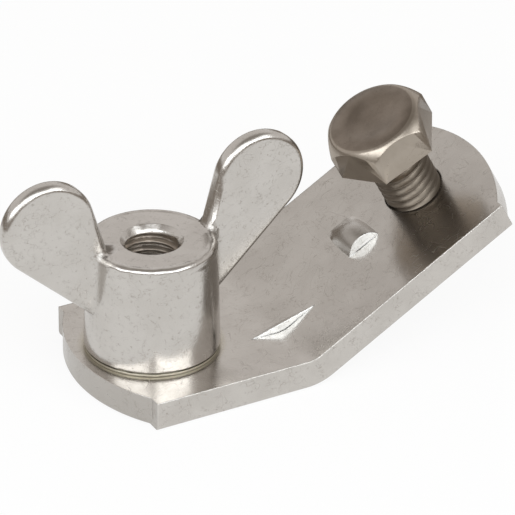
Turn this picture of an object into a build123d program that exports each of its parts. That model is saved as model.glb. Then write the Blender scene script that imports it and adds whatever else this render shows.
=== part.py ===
from build123d import *
from math import cos, hypot, radians, sin, sqrt, tan
import os

# Earthing connector. A bent flat-bar plate carries a captive wing nut at its
# flat end, and a hexagon bolt that clamps a cable lug at its raised end.
# Millimetres. The origin is on the wing nut's thread axis, in the plane that
# the plate rests on. +X runs along the bar towards the bolt and +Z is up.

# Flat bar and its one bend
BAR_W = 35.0
BAR_T = 5.0
BEND_START = 19.4  # from the nut's axis
BEND_R = 5.0  # inside radius, on the upper face
BEND_DEG = 29.7

# Blanked ends: a shallow arc, stepped in from the bar's sides by shoulders
END_R = 27.3
FLAT_EAR = 8.27  # nut axis to the shoulders of the flat end
FLAT_STEP = 2.05
RISE_EAR = 38.5  # end of the bend to the shoulders of the raised end
RISE_STEP = 1.35
BLANK_SKEW = 0.35  # degrees that the blanking tool stands out of square
DIE_ROLL = 0.5  # rounding that blanking leaves along the lower edges

# Thread of the nut, the plate and the bolt, M10
THREAD_R = 5.0
THREAD_PITCH = 1.5
NUT_MINOR_R = 4.25
BOLT_ROOT_R = 4.1
CREST = THREAD_PITCH / 8
ROOT_FLAT = THREAD_PITCH / 4

# Wing nut
BORE_MOUTH_R = 5.2
LIFT = 0.05  # running clearance between the bar and the nut's turned foot
FOOT_R = 11.1
FOOT_H = 0.45
GROOVE_R = 10.8
GROOVE_H = 0.22  # turned groove between the foot and the pressed boss
BOSS_H = 18.5
BOSS_FOOT_R = 11.2
BOSS_TOP_R = 10.6
BOSS_RIM = 0.8
BOSS_HEEL = 0.15
COLLAR_R = 7.0
COLLAR_FIT = 0.1  # radial clearance in the plate
LIP_R = 8.4  # the collar's end, flared to hold the nut in the plate
SINK_R = 9.2  # countersink under the plate that takes the lip
NUT_TURN = -1.5  # degrees, as the wings stand

# The wings, in their own plane: distance from the axis, height over the bar
LOBE_R = 7.9
LOBE_OUT = 18.8
LOBE_UP = 26.0
WING_SHIFT = 0.4  # both wings, off the boss's centre along their own plane
WING_CANT = 1.2  # degrees that the pair is pressed out of level
FLANK_OUT = 8.7  # foot of the inner flank, on the boss's top
UNDER_DEG = 43.0  # slope of the lower edge
WING_IN = 8.0  # how far in the wings start, hidden in the boss
WING_ROOT_T = 3.6
WING_TIP_T = 2.8
WING_EDGE = 1.1
WING_ROOT_R = 0.4  # hollow where the wings' faces run into the boss

# Bolt, M10 x 20, across flats 16
BOLT_AT = 31.5  # end of the bend to the bolt's axis
BOLT_GAP = 10.8  # bar to the underside of the head
BOLT_L = 20.0
SHANK_R = THREAD_R - 0.03
TAP_R = THREAD_R + 0.05  # the plate's hole, over the bolt's crests
HEAD_AF = 16.0
HEAD_H = 6.6
CROWN_R = 7.5
CROWN_DROP = 2.15  # crown to the corners' upper ends
CROWN_SWELL = 0.14  # its rounding, out from a straight chamfer
DISH_R = 4.4
DISH_DEEP = 0.25
HEAD_TURN = -5.1  # degrees, from the bar's length to a corner
TIP_CHAMFER = 1.0
TAP_MOUTH = 0.15

# Stiffening gusset over the bend, and the nib that keeps a lug from turning.
# Both are pushed up from below, and sheared off square on their near side.
GUSSET_Y = -6.9
GUSSET_LEG = 6.1  # along the flat part, from the bend's sharp corner
GUSSET_RISE = 6.9  # along the raised part
GUSSET_W = 3.6
NIB_AT = 18.5  # end of the bend to its middle
NIB_L = 6.25
NIB_Y = -3.3
NIB_W = 8.2
NIB_H = 2.0
NIB_HOLD = 4.6  # from its near side to where its back falls away
NIB_HOLD_H = 1.5
NIB_END_L = 5.2  # length of its far end
NIB_END_H = 0.05
MARK = 0.75  # the punch marks' size below, against what they raise above
ROOTED = 1.5  # how deep a raised form reaches into the bar
SLIT_W = 0.12  # narrow slit that the shearing leaves at the foot of each near side
SLIT_DEEP = 0.3

os.makedirs("parts", exist_ok=True)

bend = radians(BEND_DEG)
half_bend = bend / 2
along = Vector(cos(bend), 0, sin(bend))
off = Vector(-sin(bend), 0, cos(bend))
bisector = Vector(-sin(half_bend), 0, cos(half_bend))
bend_axis = Vector(BEND_START, 0, BAR_T + BEND_R)
bend_end = bend_axis - off * BEND_R
corner = Vector(BEND_START + BEND_R * tan(half_bend), 0, BAR_T)
lower_corner = corner - bisector * (BAR_T / cos(half_bend))


def raised(u, n=0.0, y=0.0):
    """Point u along the raised part from the bend's end, n above its face."""
    return bend_end + along * u + off * n + Vector(0, y, 0)


def across(point, y):
    """Section plane across the bar at y, its x along the raised part."""
    return Plane(origin=point + Vector(0, y, 0), x_dir=along, z_dir=(0, -1, 0))


def outline(points, y=0.0):
    """Polygon of the bar's side view, set at y."""
    return make_face(Polyline(*[(p.X, y, p.Z) for p in points], close=True))


# Connector plate: the side view with its bend, drawn out to the bar's width
reach = 3 * BAR_W
start = Vector(BEND_START, 0, 0)
upper_start = Vector(BEND_START, 0, BAR_T)
lower_end = raised(0, -BAR_T)
side_view = make_face(
    [
        Line((-reach, 0, 0), start),
        ThreePointArc(start, bend_axis - bisector * (BEND_R + BAR_T), lower_end),
        Line(lower_end, raised(reach, -BAR_T)),
        Line(raised(reach, -BAR_T), raised(reach)),
        Line(raised(reach), bend_end),
        ThreePointArc(bend_end, bend_axis - bisector * BEND_R, upper_start),
        Line(upper_start, (-reach, 0, BAR_T)),
        Line((-reach, 0, BAR_T), (-reach, 0, 0)),
    ]
)
bar = extrude(side_view, amount=BAR_W / 2, dir=(0, 1, 0), both=True)


def blank_end(plane, ear, step):
    """Keeps the bar behind one blanked end, whose shoulders stand at ear."""
    inner = BAR_W / 2 - step
    tip = END_R - sqrt(END_R**2 - inner**2)
    wide = BAR_W
    back = -2 * reach
    edge = make_face(
        [
            Line((back, -wide), (0, -wide)),
            Line((0, -wide), (0, -inner)),
            ThreePointArc((0, -inner), (tip, 0), (0, inner)),
            Line((0, inner), (0, wide)),
            Line((0, wide), (back, wide)),
            Line((back, wide), (back, -wide)),
        ]
    )
    square = plane * Pos(ear, 0, 0) * Rot(0, 0, BLANK_SKEW)
    return extrude(square * edge, amount=2 * reach, both=True)


flat_plane = Plane(origin=(0, 0, 0), x_dir=(-1, 0, 0), z_dir=(0, 0, 1))
raised_plane = Plane(origin=bend_end, x_dir=along, z_dir=off)
plate = bar & blank_end(flat_plane, FLAT_EAR, FLAT_STEP)
plate = plate & blank_end(raised_plane, RISE_EAR, RISE_STEP)

lower_edges = [e for f in plate.faces() if f.normal_at().Z < -0.6 for e in f.edges()]
shoulder = max(FLAT_STEP, RISE_STEP) + 0.1  # the bend's lines are as long as the bar is wide
plate = fillet([e for e in lower_edges if shoulder < e.length < BAR_W - 0.1], DIE_ROLL)


def gusset_form(root, foot, head, y, width, far_size):
    """Wedge across the bend whose ridge is the straight chord foot to head."""
    ends = []
    for at, size in ((y, 1.0), (y + width, far_size)):
        chord = [root + (p - root) * size for p in (foot, head)]
        ends.append(outline([root, *chord], at))
    return loft(ends, ruled=True)


def nib_form(base, y, size, root):
    """Hood with an arched near end, whose back falls away to its far end."""
    ends = []
    for behind, length, rise in (
        (0.0, NIB_L, NIB_H),
        (NIB_HOLD, NIB_L, NIB_HOLD_H),
        (NIB_W, NIB_END_L, NIB_END_H),
    ):
        half = length * size / 2
        arch = make_face(
            [
                ThreePointArc((-half, 0), (0, rise * size), (half, 0)),
                Line((half, 0), (half, -root)),
                Line((half, -root), (-half, -root)),
                Line((-half, -root), (-half, 0)),
            ]
        )
        ends.append(across(base, y + behind * size) * arch)
    return loft(ends)


def slit(depth_at, foot, head, y):
    """Thin triangular cut whose point lies under the bar's face."""
    return extrude(outline([depth_at, foot, head], y), amount=SLIT_W, dir=(0, -1, 0))


plate += gusset_form(
    corner - bisector * ROOTED,
    corner - Vector(GUSSET_LEG, 0, 0),
    corner + along * GUSSET_RISE,
    GUSSET_Y,
    GUSSET_W,
    0.3,
)
plate -= gusset_form(
    lower_corner - bisector * ROOTED,
    lower_corner - Vector(GUSSET_LEG * MARK, 0, 0),
    lower_corner + along * (GUSSET_RISE * MARK),
    GUSSET_Y + 0.3,
    GUSSET_W * MARK,
    0.6,
)
plate -= slit(
    corner - bisector * SLIT_DEEP,
    corner - Vector(GUSSET_LEG, 0, 0),
    corner + along * GUSSET_RISE,
    GUSSET_Y,
)
plate += nib_form(raised(NIB_AT), NIB_Y, 1.0, ROOTED)
plate -= slit(
    raised(NIB_AT, -SLIT_DEEP),
    raised(NIB_AT - NIB_L / 2),
    raised(NIB_AT + NIB_L / 2),
    NIB_Y,
)
plate -= nib_form(raised(NIB_AT, -BAR_T), NIB_Y + 0.3, MARK, ROOTED)

# Holes: the nut's, countersunk from below, and the bolt's, tapped
hole_r = COLLAR_R + COLLAR_FIT
plate -= extrude(Plane.XY * Circle(hole_r), amount=BAR_T)
sink = Plane.XY * Cone(
    SINK_R, hole_r, SINK_R - hole_r, align=(Align.CENTER, Align.CENTER, Align.MIN)
)
plate -= sink
bolt_plane = Plane(origin=raised(BOLT_AT), x_dir=along, z_dir=off)
plate -= extrude(bolt_plane * Circle(TAP_R), amount=-BAR_T)
for face_at, way in ((0.0, -1), (-BAR_T, 1)):
    mouth_plane = Plane(origin=raised(BOLT_AT, face_at), x_dir=along, z_dir=off * way)
    plate -= mouth_plane * Cone(
        TAP_R + TAP_MOUTH,
        TAP_R,
        TAP_MOUTH,
        align=(Align.CENTER, Align.CENTER, Align.MIN),
    )

# Wing nut: boss, foot, collar and lip are one turned form
foot = BAR_T + LIFT
heel = foot + FOOT_H + GROOVE_H
top = heel + BOSS_H
boss_points = [
    (NUT_MINOR_R, 0),
    (LIP_R, 0),
    (COLLAR_R, LIP_R - COLLAR_R),
    (COLLAR_R, foot),
    (FOOT_R, foot),
    (FOOT_R, foot + FOOT_H),
    (GROOVE_R, foot + FOOT_H),
    (GROOVE_R, heel),
    (BOSS_FOOT_R, heel),
    (BOSS_TOP_R, top),
    (BORE_MOUTH_R, top),
    (NUT_MINOR_R, top - (BORE_MOUTH_R - NUT_MINOR_R)),
]
section = make_face(Plane.XZ * Polyline(*boss_points, close=True))


def corner_at(face, r, z):
    """Corner of a face in the XZ plane at radius r and height z."""
    return min(face.vertices(), key=lambda v: hypot(v.X - r, v.Z - z))


section = fillet(corner_at(section, BOSS_TOP_R, top), BOSS_RIM)
section = fillet(corner_at(section, BOSS_FOOT_R, heel), BOSS_HEEL)
nut = revolve(section, Axis.Z)

lobe_z = BAR_T + LOBE_UP
lobe = Vector(LOBE_OUT, lobe_z)
under = radians(UNDER_DEG)
under_touch = lobe + Vector(sin(under), -cos(under)) * LOBE_R
under_in = Vector(WING_IN, under_touch.Y - (under_touch.X - WING_IN) * tan(under))
flank = Vector(FLANK_OUT, top)
span = lobe - flank
reach_out = span.length
flank_run = sqrt(reach_out**2 - LOBE_R**2)
flank_dir = Vector(
    (span.X * flank_run - span.Y * LOBE_R) / reach_out**2,
    (span.Y * flank_run + span.X * LOBE_R) / reach_out**2,
)
flank_touch = flank + flank_dir * flank_run
wing_out = LOBE_OUT + LOBE_R
wing_view = make_face(
    [
        Line(under_in, under_touch),
        ThreePointArc(under_touch, lobe + Vector(0.8, 0.6) * LOBE_R, flank_touch),
        Line(flank_touch, flank),
        Line(flank, (WING_IN, top - BOSS_RIM)),
        Line((WING_IN, top - BOSS_RIM), under_in),
    ]
)
slab = extrude(Plane.XZ * wing_view, amount=WING_ROOT_T, both=True)
plan = make_face(
    Polyline(
        (0, -WING_ROOT_T / 2),
        (wing_out, -WING_TIP_T / 2),
        (wing_out, WING_TIP_T / 2),
        (0, WING_ROOT_T / 2),
        close=True,
    )
)
wing = slab & extrude(plan, amount=2 * lobe_z)
rim = [e for e in wing.edges() if (e @ 0.5).X > WING_IN + 0.8 and abs((e @ 0.5).Y) > 0.5]
wing = fillet(rim, WING_EDGE)
pair = wing + Rot(0, 0, 180) * wing
level = Pos(0, 0, lobe_z)
pair = Pos(WING_SHIFT, 0, 0) * level * Rot(0, -WING_CANT, 0) * level.inverse() * pair
nut = nut + pair
roots = [
    e
    for e in nut.edges().filter_by(GeomType.HYPERBOLA)
    if e.length > WING_ROOT_T and abs((e @ 0.5).X) > WING_IN
]
nut = Rot(0, 0, NUT_TURN) * fillet(roots, WING_ROOT_R)

# Bolt, turned up on its own axis from the head's underside and then set in place
head = extrude(RegularPolygon(HEAD_AF / 2, 6, major_radius=False), amount=HEAD_H)
head_r = HEAD_AF / 2 / cos(radians(30))
crown_edge = Vector(CROWN_R, HEAD_H)
crown_low = Vector(head_r, HEAD_H - CROWN_DROP)
slope = crown_low - crown_edge
swell = Vector(-slope.Y, slope.X) * (CROWN_SWELL / slope.length)
crown_view = make_face(
    [
        Line((0, 0), (head_r, 0)),
        Line((head_r, 0), crown_low),
        ThreePointArc(crown_low, (crown_edge + crown_low) / 2 + swell, crown_edge),
        Line(crown_edge, (DISH_R, HEAD_H)),
        Line((DISH_R, HEAD_H), (DISH_R - 2 * DISH_DEEP, HEAD_H - DISH_DEEP)),
        Line((DISH_R - 2 * DISH_DEEP, HEAD_H - DISH_DEEP), (0, HEAD_H - DISH_DEEP)),
        Line((0, HEAD_H - DISH_DEEP), (0, 0)),
    ]
)
crown = revolve(Plane.XZ * crown_view, Axis.Z)
shank_points = [(0, 0), (SHANK_R, 0)]
for turn in range(int(BOLT_L / THREAD_PITCH)):
    groove = -(turn + 0.5) * THREAD_PITCH
    shank_points += [
        (SHANK_R, groove + (THREAD_PITCH - CREST) / 2),
        (BOLT_ROOT_R, groove + ROOT_FLAT / 2),
        (BOLT_ROOT_R, groove - ROOT_FLAT / 2),
        (SHANK_R, groove - (THREAD_PITCH - CREST) / 2),
    ]
shank_points += [(SHANK_R, -BOLT_L), (0, -BOLT_L)]
blank = extrude(Circle(SHANK_R), amount=-BOLT_L)
blank = chamfer(blank.edges().sort_by(Axis.Z)[0], TIP_CHAMFER)
shank = blank & revolve(make_face(Plane.XZ * Polyline(*shank_points, close=True)), Axis.Z)
head_plane = Plane(origin=raised(BOLT_AT, BOLT_GAP), x_dir=along, z_dir=off)
bolt = head_plane * (Rot(0, 0, HEAD_TURN) * (head & crown) + shank)

for name, solid in (("connector_plate", plate), ("wing_nut", nut), ("hex_bolt", bolt)):
    solid.label = name
    export_step(solid, f"parts/{name}.step")
    box = solid.bounding_box()
    print(name, round(solid.volume), "mm3", box.min, box.max)
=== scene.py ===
# %% [markdown]
# An earthing connector in three pieces: a bent plate, a wing nut that screws on
# a stud, and a hexagon bolt that clamps a cable lug.
#
# The solids come from a CAD program. Blender only dresses them: it adds fine
# threads, plated and stainless finishes, a camera and a small photo studio.
# Blender works in metres, so sizes in millimetres are multiplied by MM.

from math import cos, hypot, pi, radians, sin, tau
import bmesh
import bpy
from mathutils import Matrix, Vector


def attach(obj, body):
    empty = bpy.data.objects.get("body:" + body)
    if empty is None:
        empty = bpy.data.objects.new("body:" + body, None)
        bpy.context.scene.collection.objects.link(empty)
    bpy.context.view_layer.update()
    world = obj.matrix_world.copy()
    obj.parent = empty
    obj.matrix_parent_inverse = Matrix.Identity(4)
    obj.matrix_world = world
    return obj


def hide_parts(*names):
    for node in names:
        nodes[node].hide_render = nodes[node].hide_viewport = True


MM = 0.001
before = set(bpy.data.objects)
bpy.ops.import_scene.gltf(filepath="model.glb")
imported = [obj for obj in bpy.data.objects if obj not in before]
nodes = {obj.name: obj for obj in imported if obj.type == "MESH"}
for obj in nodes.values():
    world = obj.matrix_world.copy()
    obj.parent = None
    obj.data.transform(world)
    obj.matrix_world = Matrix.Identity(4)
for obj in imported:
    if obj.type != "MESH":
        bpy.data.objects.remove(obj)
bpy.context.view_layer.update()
scene = bpy.context.scene
print("solids:", ", ".join(sorted(nodes)))

# %% [markdown]
# The camera stands where the photographer's stood. A long lens from half a
# metre gives the flat perspective of a catalogue picture. Blender's camera
# looks along its own minus Z, so its three axes are the picture's right, the
# picture's up and the way back to the photographer.

# %% The camera
AIM = Vector((19.18, -0.66, 16.14)) * MM
DISTANCE = 541.4 * MM
AZIMUTH = radians(-29.7)  # round the object, from straight in front
ELEVATION = radians(29.2)
ROLL = radians(0.92)
SENSOR = 36.0
LENS = 230.9


def direction(azimuth, elevation):
    """Unit vector from the object towards a place in the studio."""
    flat = cos(elevation)
    return Vector((sin(azimuth) * flat, -cos(azimuth) * flat, sin(elevation)))


back = direction(AZIMUTH, ELEVATION)
level = Vector((cos(AZIMUTH), sin(AZIMUTH), 0))
upright = back.cross(level)
right = level * cos(ROLL) + upright * sin(ROLL)
up = upright * cos(ROLL) - level * sin(ROLL)
camera = bpy.data.objects.new("camera", bpy.data.cameras.new("camera"))
camera.data.sensor_width = SENSOR
camera.data.lens = LENS
camera.data.clip_start = 0.01
camera.data.clip_end = 50
turned = Matrix((right, up, back)).transposed().to_4x4()
camera.matrix_world = Matrix.Translation(AIM + back * DISTANCE) @ turned
scene.collection.objects.link(camera)
scene.camera = camera
scene.view_settings.view_transform = "Standard"
print("camera at", [round(v / MM) for v in AIM + back * DISTANCE], "mm")

# %% [markdown]
# Shader maths reads best as plain sums. A Value wraps one socket that carries
# a number, and its operators add the Math nodes. A Finish is one material: its
# node method takes a node's type, its settings and what its sockets hold, and
# everything else is built from that one method.

# %% Numbers and nodes of a finish
SHIFT_WAY = (1.0, 0.7, 1.3)  # the way in which a shift moves through a noise


class Value:
    """A number on a shader socket. Working with it adds Math nodes."""

    def __init__(self, finish, socket):
        self.finish = finish
        self.socket = socket

    def math(self, operation, first, second=0.0, clamp=False):
        settings = {"operation": operation, "use_clamp": clamp}
        return self.finish.node("Math", settings, {0: first, 1: second})

    def __add__(self, other):
        return self.math("ADD", self, other)

    def __radd__(self, other):
        return self.math("ADD", other, self)

    def __sub__(self, other):
        return self.math("SUBTRACT", self, other)

    def __rsub__(self, other):
        return self.math("SUBTRACT", other, self)

    def __mul__(self, other):
        return self.math("MULTIPLY", self, other)

    def __rmul__(self, other):
        return self.math("MULTIPLY", other, self)

    def __abs__(self):
        return self.math("ABSOLUTE", self)

    def over(self, other):
        """The larger of the two."""
        return self.math("MAXIMUM", self, other)

    def held(self):
        """The same number, kept between 0 and 1."""
        return self.math("ADD", self, 0.0, clamp=True)


class Finish:
    """One material, or the light of the room, built from nodes."""

    def __init__(self, owner, output="OutputMaterial"):
        owner.use_nodes = True
        self.tree = owner.node_tree
        self.tree.nodes.clear()
        self.output = output

    def node(self, kind, settings=None, sockets=None, out=0):
        """Adds a node and gives one of its outputs."""
        made = self.tree.nodes.new("ShaderNode" + kind)
        for key, setting in (settings or {}).items():
            if key == "stops":
                ramp = made.color_ramp
                while len(ramp.elements) < len(setting):
                    ramp.elements.new(1.0)
                for element, (at, colour) in zip(ramp.elements, setting):
                    element.position = at
                    element.color = (*colour, 1.0)
            else:
                setattr(made, key, setting)
        for key, content in (sockets or {}).items():
            if isinstance(content, Value):
                self.tree.links.new(content.socket, made.inputs[key])
            else:
                made.inputs[key].default_value = content
        return Value(self, made.outputs[out] if made.outputs else None)

    def show(self, shader):
        """Makes this shader the finish that is seen."""
        self.node(self.output, None, {"Surface": shader})

    def vector(self, operation, first, second=(0, 0, 0), out=0):
        settings = {"operation": operation}
        return self.node("VectorMath", settings, {0: first, 1: second}, out)

    def blend(self, factor, first, second):
        """Mixes two colours by a number."""
        colours = [c if isinstance(c, Value) else (*c, 1.0) for c in (first, second)]
        sockets = {0: factor, 6: colours[0], 7: colours[1]}
        return self.node("Mix", {"data_type": "RGBA"}, sockets, 2)

    def lean(self, factor, first, second):
        """Mixes two normals by a number."""
        sockets = {0: factor, 4: first, 5: second}
        return self.node("Mix", {"data_type": "VECTOR"}, sockets, 1)

    def split(self, vector, axis):
        """One coordinate of a position or a direction."""
        return self.node("SeparateXYZ", None, {0: vector}, axis)

    def from_axis(self, spot):
        """How far a position is from the solid's own upright axis."""
        flat = self.vector("MULTIPLY", spot, (1, 1, 0))
        return self.vector("LENGTH", flat, out="Value")

    def step(self, value, low, high):
        """0 below low, 1 above high, and a smooth rise between them."""
        settings = {"interpolation_type": "SMOOTHSTEP"}
        return self.node("MapRange", settings, {0: value, 1: low, 2: high})

    def place(self, per_mm=(1, 1, 1), turn=0.0, shift=0.0):
        """Position on the solid in steps of 1/per_mm millimetres."""
        spot = self.node("TexCoord", out="Object")
        angles = (0.0, 0.0, radians(turn))
        spot = self.node("Mapping", None, {"Vector": spot, "Rotation": angles})
        spot = self.vector("MULTIPLY", spot, [n / MM for n in per_mm])
        return self.vector("ADD", spot, [shift * way for way in SHIFT_WAY])

    def noise(self, spot, detail=2.0, roughness=0.5):
        """Cloudy noise between 0 and 1, about 0.5."""
        sockets = {"Vector": spot, "Scale": 1.0, "Detail": detail, "Roughness": roughness}
        return self.node("TexNoise", None, sockets)


print("helpers: Value, Finish")

# %% [markdown]
# A bright metal shows its surroundings, so the studio matters more than the
# lamps' power. This one is a white table under a pale dome, with two wide, low
# softboxes, one each side of the camera, and two smaller ones higher up. The gap
# between the low ones draws the darker band down the boss. The table is lit, so
# that it keeps the part's shadow, and it is also shown as plain white to the eye
# and to metal.

# %% The table
TABLE_HALF = 4.0
TABLE_WHITE = (0.86, 0.86, 0.85)
SEEN_WHITE = 0.88  # how much of the table's look is plain white, not lit
SHOWN_WHITE = 0.55  # the same in reflections, where shadows matter more


def mesh_object(name, corners, faces, material):
    """A new object from a list of corners, in metres, and faces."""
    mesh = bpy.data.meshes.new(name)
    mesh.from_pydata(corners, [], faces)
    mesh.materials.append(material)
    made = bpy.data.objects.new(name, mesh)
    scene.collection.objects.link(made)
    return made


def table_finish():
    """Lit white, shown mostly as plain white to the eye and to metal."""
    material = bpy.data.materials.new("table_white")
    finish = Finish(material)
    camera_ray, glossy_ray, through_ray = (
        finish.node("LightPath", out=kind)
        for kind in ("Is Camera Ray", "Is Glossy Ray", "Is Transmission Ray")
    )
    seen = (camera_ray * SEEN_WHITE).over(glossy_ray.over(through_ray) * SHOWN_WHITE)
    lit = finish.node("BsdfDiffuse", None, {"Color": (*TABLE_WHITE, 1)})
    plain = finish.node("Emission", None, {"Strength": 1.0})
    finish.show(finish.node("MixShader", None, {0: seen, 1: lit, 2: plain}))
    return material


rim_signs = ((-1, -1), (1, -1), (1, 1), (-1, 1))
table_rim = [(x * TABLE_HALF, y * TABLE_HALF, 0) for x, y in rim_signs]
table = mesh_object("table", table_rim, [(0, 1, 2, 3)], table_finish())
print("table", 2 * TABLE_HALF, "m wide")

# %% [markdown]
# A shallow dark bowl of card round the table stands for the room beyond it.
# Only reflections see it, and it gives edges that lean away from the lamps a
# dark side. Its profile is turned round the upright axis, like a lampshade's.

# %% The bowl of card
BOWL_SIDES = 64
BOWL_PROFILE = ((0.18, 0.001), (0.30, 0.022), (0.60, 0.09), (1.0, 0.19))
BOWL_COLOUR = (0.25, 0.215, 0.182)


def bowl_finish():
    material = bpy.data.materials.new("card_dark")
    finish = Finish(material)
    finish.show(finish.node("BsdfDiffuse", None, {"Color": (*BOWL_COLOUR, 1)}))
    return material


bowl_corners = [
    (r * cos(tau * n / BOWL_SIDES), r * sin(tau * n / BOWL_SIDES), z)
    for r, z in BOWL_PROFILE
    for n in range(BOWL_SIDES)
]
bowl_faces = []
for band in range(len(BOWL_PROFILE) - 1):
    for n in range(BOWL_SIDES):
        here = band * BOWL_SIDES + n
        there = band * BOWL_SIDES + (n + 1) % BOWL_SIDES
        bowl_faces.append((here, there, there + BOWL_SIDES, here + BOWL_SIDES))
bowl = mesh_object("room_bowl", bowl_corners, bowl_faces, bowl_finish())
bowl.visible_camera = False
bowl.visible_diffuse = False
bowl.visible_shadow = False
print("bowl from", BOWL_PROFILE[0][0], "to", BOWL_PROFILE[-1][0], "m out")

# %% [markdown]
# The dome is the world's own light. It is white near the table's edge and
# greyer overhead, because a dark ceiling is what gives level metal its tone.

# %% The dome
DOME_WHITE = (1.0, 1.0, 1.0)
DOME_COLOUR = (0.79, 0.762, 0.74)
DOME_TOP = (0.36, 0.335, 0.31)
DOME_STOPS = [
    (0.12, DOME_WHITE),
    (0.30, DOME_COLOUR),
    (0.64, DOME_COLOUR),
    (0.92, DOME_TOP),
]

world = bpy.data.worlds.new("dome")
scene.world = world
dome = Finish(world, "OutputWorld")
height = dome.split(dome.node("TexCoord", out="Generated"), "Z")
tone = dome.node("ValToRGB", {"stops": DOME_STOPS}, {0: height})
dome.show(dome.node("Background", None, {"Color": tone, "Strength": 1.0}))
print("dome from white at the table's edge to", DOME_TOP, "overhead")

# %% [markdown]
# A lamp's radiance is what a mirror shows, and it is the lamp's power over pi
# times its area. The two beside the camera are wide and low, because the
# brightest patches on the part are light that struck the plate and then the nut
# or the gusset, and such light comes in flat. The camera stands in the gap
# between them. The two higher ones are small and weak: the top one lights the
# nib's opening and the bolt's crown, and the side one lights the gusset.

# %% The softboxes
SOFTBOX_COLOUR = (0.90, 0.955, 1.0)
SOFTBOX_AWAY = 1.3
SOFTBOXES = {  # radiance, degrees aside of the camera and up, width and height
    "softbox_left": (3.2, -34, 29, 1.30, 0.52),
    "softbox_right": (3.5, 38, 30, 1.30, 0.52),
    "softbox_top": (1.7, -2, 50, 0.90, 0.50),
    "softbox_side": (1.35, 72, 47, 0.50, 0.40),
}

for name, (radiance, aside, lifted, wide, tall) in SOFTBOXES.items():
    lamp = bpy.data.lights.new(name, "AREA")
    lamp.shape = "RECTANGLE"
    lamp.size = wide
    lamp.size_y = tall
    lamp.color = SOFTBOX_COLOUR
    lamp.energy = radiance * pi * wide * tall
    holder = bpy.data.objects.new(name, lamp)
    towards = direction(AZIMUTH + radians(aside), radians(lifted))
    holder.location = AIM + towards * SOFTBOX_AWAY
    holder.rotation_mode = "QUATERNION"
    holder.rotation_quaternion = towards.to_track_quat("Z", "Y")
    holder.visible_camera = False
    scene.collection.objects.link(holder)
    print(name, round(lamp.energy, 2), "W")

# %% [markdown]
# A handled metal surface is clouds, hairlines, scuffs and pits at different
# scales. Each helper here gives a mask of one of them, from 0 to 1. Hairlines
# are the places where a stretched noise crosses its middle value, which makes
# long thin lines that never repeat.

# %% Marks that metal carries
BREAK = (0.48, 0.58)  # where in its clouds a hairline breaks off
BREAK_SIZE = 0.45  # size of those clouds, as a share of the line
BREAK_SHIFT = 3.1
PATCH_SOFT = 0.07
PATCH_SIZE = 1.1  # size of a patch of scuffs, as a share of one scuff
PATCH_SHIFT = 7.7
PIT_WALL = 0.6  # where a pit's wall starts, as a share of its radius
EDGE_GAIN = 6


def clouds(finish, size, low, high, shift):
    """Soft patches, about size millimetres across."""
    spot = finish.place((1 / size, 1 / size, 1 / size), 0.0, shift)
    return finish.step(finish.noise(spot), low, high)


def hairlines(finish, apart, long, turn, width, shift):
    """Thin lines in one direction, about apart and long in millimetres."""
    spot = finish.place((1 / long, 1 / apart, 1 / apart), turn, shift)
    crossing = abs(finish.noise(spot, 0.6) - 0.5)
    gaps = clouds(finish, long * BREAK_SIZE, *BREAK, shift + BREAK_SHIFT)
    return (1 - finish.step(crossing, 0.0, width)) * gaps


def families(finish, kinds):
    """Hairlines in several directions, in one mask."""
    lines = hairlines(finish, *kinds[0])
    for kind in kinds[1:]:
        lines = lines.over(hairlines(finish, *kind))
    return lines


def scuffs(finish, size, width, shift, share=0.55):
    """Short curled marks, in patches."""
    spot = finish.place((1 / size, 1 / size, 1 / size), 0.0, shift)
    crossing = abs(finish.noise(spot, 4.0, 0.62) - 0.5)
    high = share + PATCH_SOFT
    patches = clouds(finish, size * PATCH_SIZE, share, high, shift + PATCH_SHIFT)
    return (1 - finish.step(crossing, 0.0, width)) * patches


def pits(finish, apart, radius, shift):
    """Small round specks, on average apart millimetres from each other."""
    spot = finish.place((1 / apart, 1 / apart, 1 / apart), 0.0, shift)
    near = finish.node("TexVoronoi", None, {"Vector": spot, "Scale": 1.0}, "Distance")
    return 1 - finish.step(near, radius / apart * PIT_WALL, radius / apart)


def edges(finish, radius):
    """The normal of an edge rounded to this radius, and where it is."""
    rounded = finish.node("Bevel", {"samples": 6}, {"Radius": radius * MM})
    plain = finish.node("NewGeometry", out="Normal")
    same = finish.vector("DOT_PRODUCT", rounded, plain, "Value")
    return rounded, ((1 - same) * EDGE_GAIN).held()


def span(finish, value, low, high, soft):
    """1 from low to high, and 0 outside, with soft ends."""
    rise = finish.step(value, low - soft, low + soft)
    return rise - finish.step(value, high - soft, high + soft)


def layered(finish, colour, layers):
    """Lays each colour over those before it, where its mask is."""
    for mask, above in layers:
        colour = finish.blend(mask, colour, above)
    return colour


def metal(finish, colour, roughness, relief, depth, normal):
    """Bare metal with this relief, whose full height is depth millimetres."""
    bump = {"Height": relief, "Distance": depth * MM, "Normal": normal}
    sockets = {
        "Base Color": colour,
        "Metallic": 1.0,
        "Roughness": roughness,
        "Normal": finish.node("Bump", None, bump),
    }
    finish.show(finish.node("BsdfPrincipled", None, sockets))


print("marks: clouds, hairlines, families, scuffs, pits, edges, span")

# %% [markdown]
# The plate is rolled bar with a thin bright plating. Rolling leaves faint
# lines along the bar, the plating softens them, and handling adds hairlines
# in all directions. The blanked edges catch a bright thread of light, and a
# painted highlight lightens their colour too.

# %% Plating of the bar
PLATED = (0.585, 0.558, 0.525)
PLATED_DULL = (0.50, 0.472, 0.44)
MARK_DARK = (0.33, 0.30, 0.27)
# painted highlight: a lighter colour laid on every edge, convex and hollow alike
EDGE_HIGHLIGHT_PAINT = (0.80, 0.78, 0.75)
BAR_EDGE_R = 0.28
BAR_RELIEF = 0.012
BAR_LINES = (  # apart, long, turn, width and shift
    (1.9, 9.0, 12.0, 0.012, 5.0),
    (2.3, 7.0, -38.0, 0.012, 11.0),
    (2.6, 6.0, 71.0, 0.010, 17.0),
)
print("bar plated", PLATED, "and dull", PLATED_DULL)
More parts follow.
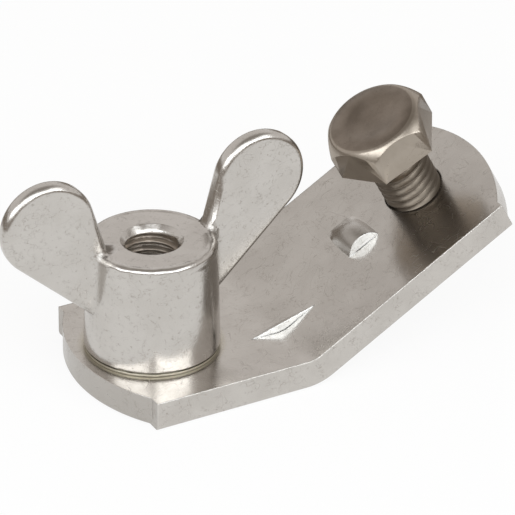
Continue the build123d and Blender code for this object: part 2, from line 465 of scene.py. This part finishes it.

# %% [markdown]
# Four places on the bar differ from the rest, all by painted light. The punch
# that opened the gusset and the nib left steep faces, and a painted highlight
# lightens them. Painted shade darkens the nib's back. The end beside the nut was
# cut across, and painted shade darkens it. A ring round the nut's foot carries
# painted shade, tinted yellow as a painted reflection of the brass foot. Masks
# made from a face's place and direction find them, so nothing is painted by
# hand, and each goes where the bend's values put it.

# %% Places on the bar
LEAN = radians(29.7)  # of the raised part
BEND_AT = Vector((19.4, 0, 10.0))  # centre of the bend, above the bar, in mm
BEND_R = 5.0  # from that centre down to the bar's upper face
LIFTED = (0.05, 0.3)  # height over the raised part at which the nib's painted shade starts
NIB_SHADE_X = (10.0, 46.0)
NIB_SPOT = (35.9, -2.4, 15.8)  # where the painted shade on the nib's back is darkest
NIB_SHADE_R = (1.0, 5.6)
# painted shade on the nib's back
NIB_SHADE_PAINT = (0.22, 0.20, 0.175)
LANCED_X = (9.0, 46.0)
NEAR_SIDE = (-15.0, -14.0)  # keeps the bar's own near side out
TO_FRONT = (0.35, 0.55)  # how squarely a lanced face looks to the front
# painted highlight on the steep lanced faces of the gusset and the nib
LANCED_HIGHLIGHT_PAINT = (0.745, 0.75, 0.745)
TO_END = (0.35, 0.75)
# painted shade on the end beside the nut
END_SHADE_PAINT = (0.44, 0.415, 0.385)
# painted shade round the nut's foot, tinted yellow as a painted reflection of the brass
# foot
SHADE_RING_R = (10.9, 12.6)
RING_SHADE_PAINT = (0.47, 0.43, 0.335)
PLACE_SOFT = 1.0


def bar_places(finish, fine):
    """Masks of the nib's painted shade, the lanced faces, the end's painted shade and the
    ring of painted shade.
    """
    facing = finish.node("NewGeometry", out="Normal")
    east, north = (finish.split(facing, axis) for axis in "XY")
    spot = finish.place()
    along_x, along_y, tall = (finish.split(spot, axis) for axis in "XYZ")
    above = (tall - BEND_AT.z) * cos(LEAN) - (along_x - BEND_AT.x) * sin(LEAN) + BEND_R
    lifted = finish.step(above, *LIFTED) * span(finish, along_x, *NIB_SHADE_X, PLACE_SOFT)
    away = finish.vector("DISTANCE", spot, NIB_SPOT, "Value")
    # painted shade on the nib's back
    nib_shade = lifted * (1 - finish.step(away, *NIB_SHADE_R)) * (0.6 + fine * 0.6)
    inside = span(finish, along_x, *LANCED_X, PLACE_SOFT) * finish.step(along_y, *NEAR_SIDE)
    lanced = finish.step(0 - north, *TO_FRONT) * inside
    # painted shade on faces turned to the end beside the nut
    end_shade = finish.step(0 - east, *TO_END)
    # painted shade round the nut's foot
    ring = (1 - finish.step(finish.from_axis(spot), *SHADE_RING_R)) * (0.6 + fine * 0.8)
    return nib_shade, lanced, end_shade, ring


print("places on the bar: drawn, lanced, sheared, ring")

# %% Plated bar


def plated_bar():
    material = bpy.data.materials.new("plated_bar")
    finish = Finish(material)
    broad = clouds(finish, 6.0, 0.35, 0.65, shift=1.0)
    fine = finish.noise(finish.place((2.2, 2.2, 2.2), shift=4.0), 3.0)
    wrinkle = finish.noise(finish.place((0.8, 0.8, 0.8), shift=14.0), 5.0, 0.62)
    rolled = finish.noise(finish.place((0.12, 3.2, 3.2), shift=2.0), 3.0)
    lines = families(finish, BAR_LINES)
    curls = scuffs(finish, 2.6, 0.011, 21.0, 0.48)
    specks = pits(finish, 2.4, 0.16, 31.0)
    normal, rim = edges(finish, BAR_EDGE_R)
    nib_shade, lanced, end_shade, ring = bar_places(finish, fine)
    colour = finish.blend(broad * 0.5 + fine * 0.25, PLATED, PLATED_DULL)
    layers = (
        # painted shade on the nib's back
        (nib_shade.held(), NIB_SHADE_PAINT),
        # painted highlight on the lanced faces
        (lanced, LANCED_HIGHLIGHT_PAINT),
        # painted shade on the end beside the nut
        (end_shade * 0.8, END_SHADE_PAINT),
        # painted shade round the nut's foot, tinted as a painted reflection of the brass
        ((ring * 0.6).held(), RING_SHADE_PAINT),
        # painted highlight along the edges
        (rim * 0.5, EDGE_HIGHLIGHT_PAINT),
        ((curls * 0.7 + specks * 0.45 + lines * 0.3).held(), MARK_DARK),
    )
    colour = layered(finish, colour, layers)
    roughness = 0.165 + broad * 0.04 + fine * 0.05 + lines * 0.1 + nib_shade * 0.12 - rim * 0.03
    roughness = roughness + ring * 0.14 + lanced * 0.12
    relief = wrinkle * 0.9 + fine * 0.2 + rolled * 0.2 - lines * 0.12 - specks * 0.5
    metal(finish, colour, roughness, relief - curls * 0.12, BAR_RELIEF, normal)
    return material


nodes["connector_plate"].data.materials.clear()
nodes["connector_plate"].data.materials.append(plated_bar())
print("plated_bar on connector_plate")

# %% [markdown]
# The wing nut is brass, pressed hot in a die and plated like the bar. A die
# leaves a slightly uneven skin, so this finish has broader waves and fewer
# lines than the bar's. The foot was turned after pressing, so bare brass shows
# under the groove, and painted shade darkens the groove. The boss's rim is
# dented, and the wings run into the boss in soft roots. A Bevel node turns the
# normal as a rounded edge would and moves nothing, and masks choose how round
# it looks at each place.

# %% Colours and places of the nut
BRASS_PLATED = (0.585, 0.560, 0.530)
BRASS_DULL = (0.51, 0.483, 0.45)
BRASS_BARE = (0.55, 0.515, 0.43)
# painted shade in the groove at the boss's lower edge
GROOVE_SHADE_PAINT = (0.12, 0.10, 0.06)
BORE_DARK = (0.44, 0.37, 0.30)
NICK_DARK = (0.25, 0.225, 0.195)
NUT_RELIEF = 0.012
NUT_LINES = (  # apart, long, turn, width and shift
    (1.9, 6.0, 25.0, 0.012, 3.0),
    (2.2, 5.0, -55.0, 0.012, 9.0),
)
CRISP_R = 0.2  # rounding of the edges, crisp and worn in turn
WORN_R = 0.55
ROOT_SOFT = 1.5  # rounding seen where the wings run into the boss
ROOT_RING = (9.6, 13.2)
ROOT_TALL = (7.0, 25.5)
ROOT_ASIDE = (3.5, 5.0)
TURNED_FOOT = 5.75  # top of the groove, under which the foot was turned
GROOVE_TALL = 0.3
BORE_R = 5.15
BORE_TOP = 23.2  # lower edge of the countersink
RIM_RING = (9.4, 11.2)
RIM_TALL = (22.6, 24.6)
RIM_SOFT = 0.4
DENT_DEPTH = 18  # of the rim's dents, against the height of the waves
print("nut plated", BRASS_PLATED, "and bare", BRASS_BARE)

# %% Plated brass


def nut_edges(finish, spot, out, tall):
    """Crisp and worn edges in patches, with soft roots to the wings."""
    crisp, rim = edges(finish, CRISP_R)
    worn, _ = edges(finish, WORN_R)
    normal = finish.lean(clouds(finish, 1.7, 0.48, 0.56, shift=41.0), crisp, worn)
    soft, _ = edges(finish, ROOT_SOFT)
    root = span(finish, out, *ROOT_RING, 0.5) * span(finish, tall, *ROOT_TALL, 0.8)
    root = root * (1 - finish.step(abs(finish.split(spot, "Y")), *ROOT_ASIDE))
    return finish.lean(root, normal, soft), rim


def plated_brass():
    material = bpy.data.materials.new("plated_brass")
    finish = Finish(material)
    broad = clouds(finish, 6.0, 0.35, 0.65, shift=2.0)
    fine = finish.noise(finish.place((2.6, 2.6, 2.6), shift=6.0), 3.0)
    wrinkle = finish.noise(finish.place((0.75, 0.75, 0.75), shift=16.0), 5.0, 0.64)
    dents = finish.noise(finish.place((0.4, 0.4, 0.4), shift=51.0), 1.0)
    lines = families(finish, NUT_LINES)
    curls = scuffs(finish, 0.95, 0.02, 27.0, 0.52)
    specks = pits(finish, 1.6, 0.13, 13.0)
    spot = finish.place()
    tall = finish.split(spot, "Z")
    out = finish.from_axis(spot)
    foot = 1 - finish.step(tall, TURNED_FOOT - 0.08, TURNED_FOOT + 0.02)
    groove = span(finish, tall, TURNED_FOOT - GROOVE_TALL, TURNED_FOOT, 0.05)
    bore = 1 - finish.step(out, BORE_R - 0.15, BORE_R)
    bore = bore * (1 - finish.step(tall, BORE_TOP - 0.2, BORE_TOP))
    burr = span(finish, tall, *RIM_TALL, RIM_SOFT) * span(finish, out, *RIM_RING, RIM_SOFT)
    normal, rim = nut_edges(finish, spot, out, tall)
    colour = finish.blend(broad * 0.4 + fine * 0.25, BRASS_PLATED, BRASS_DULL)
    layers = (
        # painted highlight along the nut's edges
        (rim * 0.3, EDGE_HIGHLIGHT_PAINT),
        (foot * 0.85, BRASS_BARE),
        # painted shade in the groove
        (groove * 0.8, GROOVE_SHADE_PAINT),
        (bore * 0.8, BORE_DARK),
        ((curls * 0.65 + specks * 0.45 + lines * 0.15).held(), NICK_DARK),
    )
    colour = layered(finish, colour, layers)
    roughness = 0.155 + broad * 0.04 + fine * 0.05 + lines * 0.08 + bore * 0.22 + foot * 0.2
    relief = wrinkle * 1.7 + fine * 0.3 - lines * 0.4 - specks * 0.6 - curls * 0.3
    relief = relief + dents * burr * DENT_DEPTH
    metal(finish, colour, roughness, relief, NUT_RELIEF, normal)
    return material


brass = plated_brass()
print("plated_brass ready")

# %% [markdown]
# The bolt is stainless. The sides of its head are satin, and the top of the
# head is given a darker colour. The rolled thread is darker still, by painted
# shade under the head, and the face under the head, which bears on the lug, is
# the brightest, by painted light that also lightens its reflection in the
# plate. Heights over that face, along the bolt's own axis, tell the four apart.

# %% Stainless steel
STEEL = (0.40, 0.352, 0.300)
STEEL_DULL = (0.33, 0.288, 0.24)
STEEL_MARK = (0.12, 0.10, 0.08)
HEAD_TOP_TONE = (0.27, 0.228, 0.19)
HEAD_TOP_TONE_DARK = (0.18, 0.148, 0.118)
THREAD_SHADE_PAINT = (0.15, 0.127, 0.102)  # painted shade on the thread under the head
UNDER_HEAD_LIGHT_PAINT = (0.62, 0.55, 0.475)  # the face under the head, painted light
HEAD_TOP = 5.9  # where the head's darker top begins
TOP_FACE_R = 7.4
THREAD_TOP = (-0.15, -0.05)
UNDER_HEAD = (-0.06, 0.06)
STEEL_EDGE_R = 0.16
STEEL_RELIEF = 0.014


def stainless():
    material = bpy.data.materials.new("stainless_steel")
    finish = Finish(material)
    broad = clouds(finish, 4.0, 0.35, 0.65, shift=3.0)
    fine = finish.noise(finish.place((3.0, 3.0, 3.0), shift=8.0), 4.0, 0.6)
    lines = hairlines(finish, 2.2, 7.0, 33.0, 0.014, 7.0)
    curls = scuffs(finish, 2.6, 0.016, 37.0)
    specks = pits(finish, 1.3, 0.12, 23.0)
    spot = finish.place()
    tall = finish.split(spot, "Z")
    top_face = finish.step(tall, HEAD_TOP - 0.1, HEAD_TOP)
    top_face = top_face * (1 - finish.step(finish.from_axis(spot), TOP_FACE_R - 0.3, TOP_FACE_R))
    rolled = 1 - finish.step(tall, *THREAD_TOP)
    # painted light on the face under the head
    under_head_light = span(finish, tall, *UNDER_HEAD, 0.03)
    normal, _ = edges(finish, STEEL_EDGE_R)
    side = finish.blend(broad * 0.5 + fine * 0.3, STEEL, STEEL_DULL)
    top = finish.blend((broad * 0.5 + fine * 0.5).held(), HEAD_TOP_TONE, HEAD_TOP_TONE_DARK)
    layers = (
        (top_face, top),
        # painted shade on the thread under the head
        (rolled, THREAD_SHADE_PAINT),
        # painted light on the face under the head
        (under_head_light, UNDER_HEAD_LIGHT_PAINT),
        ((curls * 0.4 + specks * 0.4).held(), STEEL_MARK),
    )
    colour = layered(finish, side, layers)
    roughness = 0.25 + fine * 0.08 + top_face * 0.08 + lines * 0.08 + rolled * 0.06
    relief = fine * 0.3 + broad * 0.7 - lines * 0.4 - specks * 0.6 - curls * 0.4
    metal(finish, colour, roughness, relief, STEEL_RELIEF, normal)
    return material


steel = stainless()
print("stainless_steel ready")

# %% [markdown]
# A screw thread is one long ridge wound round a cylinder. Stacked rings would
# look nearly the same, but a helix has no seam and its start and end run out as
# a real one's do. The skin is a grid whose rows climb one pitch in each turn, so
# every row lies exactly on a crest, a flank or a root. A limit on the radius
# cuts the thread off in the countersink, at the tip and under the head.

# %% Thread of the nut and the bolt
PITCH = 1.5
ROUND = 96  # segments in a turn
MERGE = 1e-7  # corners closer than this, in metres, become one
BORE_PROFILE = ((-0.125, 0.0), (0.125, 0.0), (0.43, 1.0), (0.57, 1.0))
SHANK_PROFILE = ((-0.0625, 0.0), (0.0625, 0.0), (0.375, 0.95), (0.5, 1.0), (0.625, 0.95))


def thread_skin(body, profile, low, high, radius_at, inward):
    """Adds a threaded wall between two heights, in millimetres."""
    rows = len(profile)
    turns = int((high - low) / PITCH) + 3
    grid = []
    for k in range(turns * rows):
        turn, row = divmod(k, rows)
        share, deep = profile[row]
        line = []
        for n in range(ROUND):
            climb = turn + share + n / ROUND - 1
            z = min(max(low + climb * PITCH, low), high)
            r = radius_at(deep, z)
            angle = tau * n / ROUND
            spot = Vector((r * cos(angle), r * sin(angle), z)) * MM
            line.append(body.verts.new(spot))
        grid.append(line)
    for k in range(turns * rows - 1):
        for n in range(ROUND):
            beside = (k, n + 1) if n + 1 < ROUND else (k + rows, 0)
            if beside[0] + 1 >= turns * rows:
                continue
            corners = [
                grid[k][n],
                grid[beside[0]][beside[1]],
                grid[beside[0] + 1][beside[1]],
                grid[k + 1][n],
            ]
            body.faces.new(corners[::-1] if inward else corners)
    bmesh.ops.remove_doubles(body, verts=body.verts, dist=MERGE)
    bmesh.ops.dissolve_degenerate(body, edges=body.edges, dist=MERGE)


print("thread of pitch", PITCH, "mm, in", ROUND, "segments a turn")

# %% [markdown]
# A dressed piece starts as a copy of its solid's surface. A rule on the corners
# of a face tells which faces go, and the rest stay as they came, so the piece
# keeps the outline that the CAD program gave it.

# %% Copies of the solids
CRISP_ANGLE = radians(24)  # edges sharper than this stay crisp
SLACK = 0.01  # millimetres, for corners that lie on a limit


def dressed_copy(node, name, keep, place=None):
    """A copy of a solid's surface without the faces that keep turns down."""
    body = bmesh.new()
    body.from_mesh(nodes[node].data)
    if place:
        body.transform(place.inverted())
    bmesh.ops.remove_doubles(body, verts=body.verts, dist=MERGE)
    spare = [f for f in body.faces if not keep([v.co / MM for v in f.verts])]
    bmesh.ops.delete(body, geom=spare, context="FACES")
    print(name, "drops", len(spare), "faces of", node)
    return body


def piece_from(body, name, material, place=None):
    """Turns the finished surface into an object with crisp edges."""
    mesh = bpy.data.meshes.new(name)
    body.to_mesh(mesh)
    body.free()
    mesh.shade_smooth()
    mesh.set_sharp_from_angle(angle=CRISP_ANGLE)
    mesh.materials.append(material)
    made = bpy.data.objects.new(name, mesh)
    if place:
        made.matrix_world = place
    scene.collection.objects.link(made)
    print(name, len(mesh.polygons), "faces")
    return made


print("helpers: dressed_copy, piece_from")

# %% [markdown]
# The nut keeps its pressed shape. Only the plain wall of its hole and its
# countersink are taken off, and the threaded wall goes in their place.

# %% The wing nut
NUT_TOP = 24.22
NUT_MINOR_R = 4.25
NUT_MOUTH_R = 5.2
BORE_DEPTH = 0.8
RUN_OUT = 0.8  # how fast a thread's root rises out, per millimetre
COUNTERSINK = NUT_MOUTH_R - NUT_MINOR_R


def outside_bore(corners):
    return all(hypot(c.x, c.y) > NUT_MOUTH_R - SLACK or c.z < SLACK for c in corners)


def bore_radius(deep, z):
    below = max(NUT_TOP - COUNTERSINK - z, 0)
    cut = min(deep * BORE_DEPTH, z, below * RUN_OUT)
    return max(NUT_MINOR_R + cut, NUT_MOUTH_R - (NUT_TOP - z))


nut_body = dressed_copy("wing_nut", "pressed_nut", outside_bore)
thread_skin(nut_body, BORE_PROFILE, 0.0, NUT_TOP, bore_radius, inward=True)
nut = piece_from(nut_body, "pressed_nut", brass)
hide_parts("wing_nut")
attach(nut, "nut")

# %% [markdown]
# The bolt is built about its own axis, standing on the underside of its head,
# and then set over the raised part of the plate. Its own axis also tells the
# finish which faces are the top of the head. The head stays as the solid has
# it, and only the shank is rebuilt, with its thread.

# %% The bolt
BOLT_AT = 31.5  # from the bend, along the raised part
BOLT_GAP = 10.8  # from the raised part up to the head
SHANK_R = 4.97
SHANK_DEPTH = 0.87
SHANK_L = 20.0
TIP_R = 3.97
TIP_SLACK = 0.001

along = Vector((cos(LEAN), 0, sin(LEAN)))
off = Vector((-sin(LEAN), 0, cos(LEAN)))
seat = BEND_AT + along * BOLT_AT + off * (BOLT_GAP - BEND_R)
axes = Matrix((along, Vector((0, 1, 0)), off)).transposed().to_4x4()
bolt_place = Matrix.Translation(seat * MM) @ axes


def of_head(corners):
    return all(c.z > -SLACK for c in corners)


def shank_radius(deep, z):
    threaded = SHANK_R - deep * SHANK_DEPTH
    full = SHANK_R + z * RUN_OUT
    tip = TIP_R + (z + SHANK_L)
    return min(max(threaded, full), tip, SHANK_R)


bolt_body = dressed_copy("hex_bolt", "clamp_bolt", of_head, bolt_place)
thread_skin(bolt_body, SHANK_PROFILE, -SHANK_L, 0.0, shank_radius, inward=False)
tip_z = (TIP_SLACK - SHANK_L) * MM
tip_ring = [e for e in bolt_body.edges if all(v.co.z < tip_z for v in e.verts)]
bmesh.ops.edgeloop_fill(bolt_body, edges=tip_ring)
bolt = piece_from(bolt_body, "clamp_bolt", steel, bolt_place)
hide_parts("hex_bolt")
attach(bolt, "bolt")
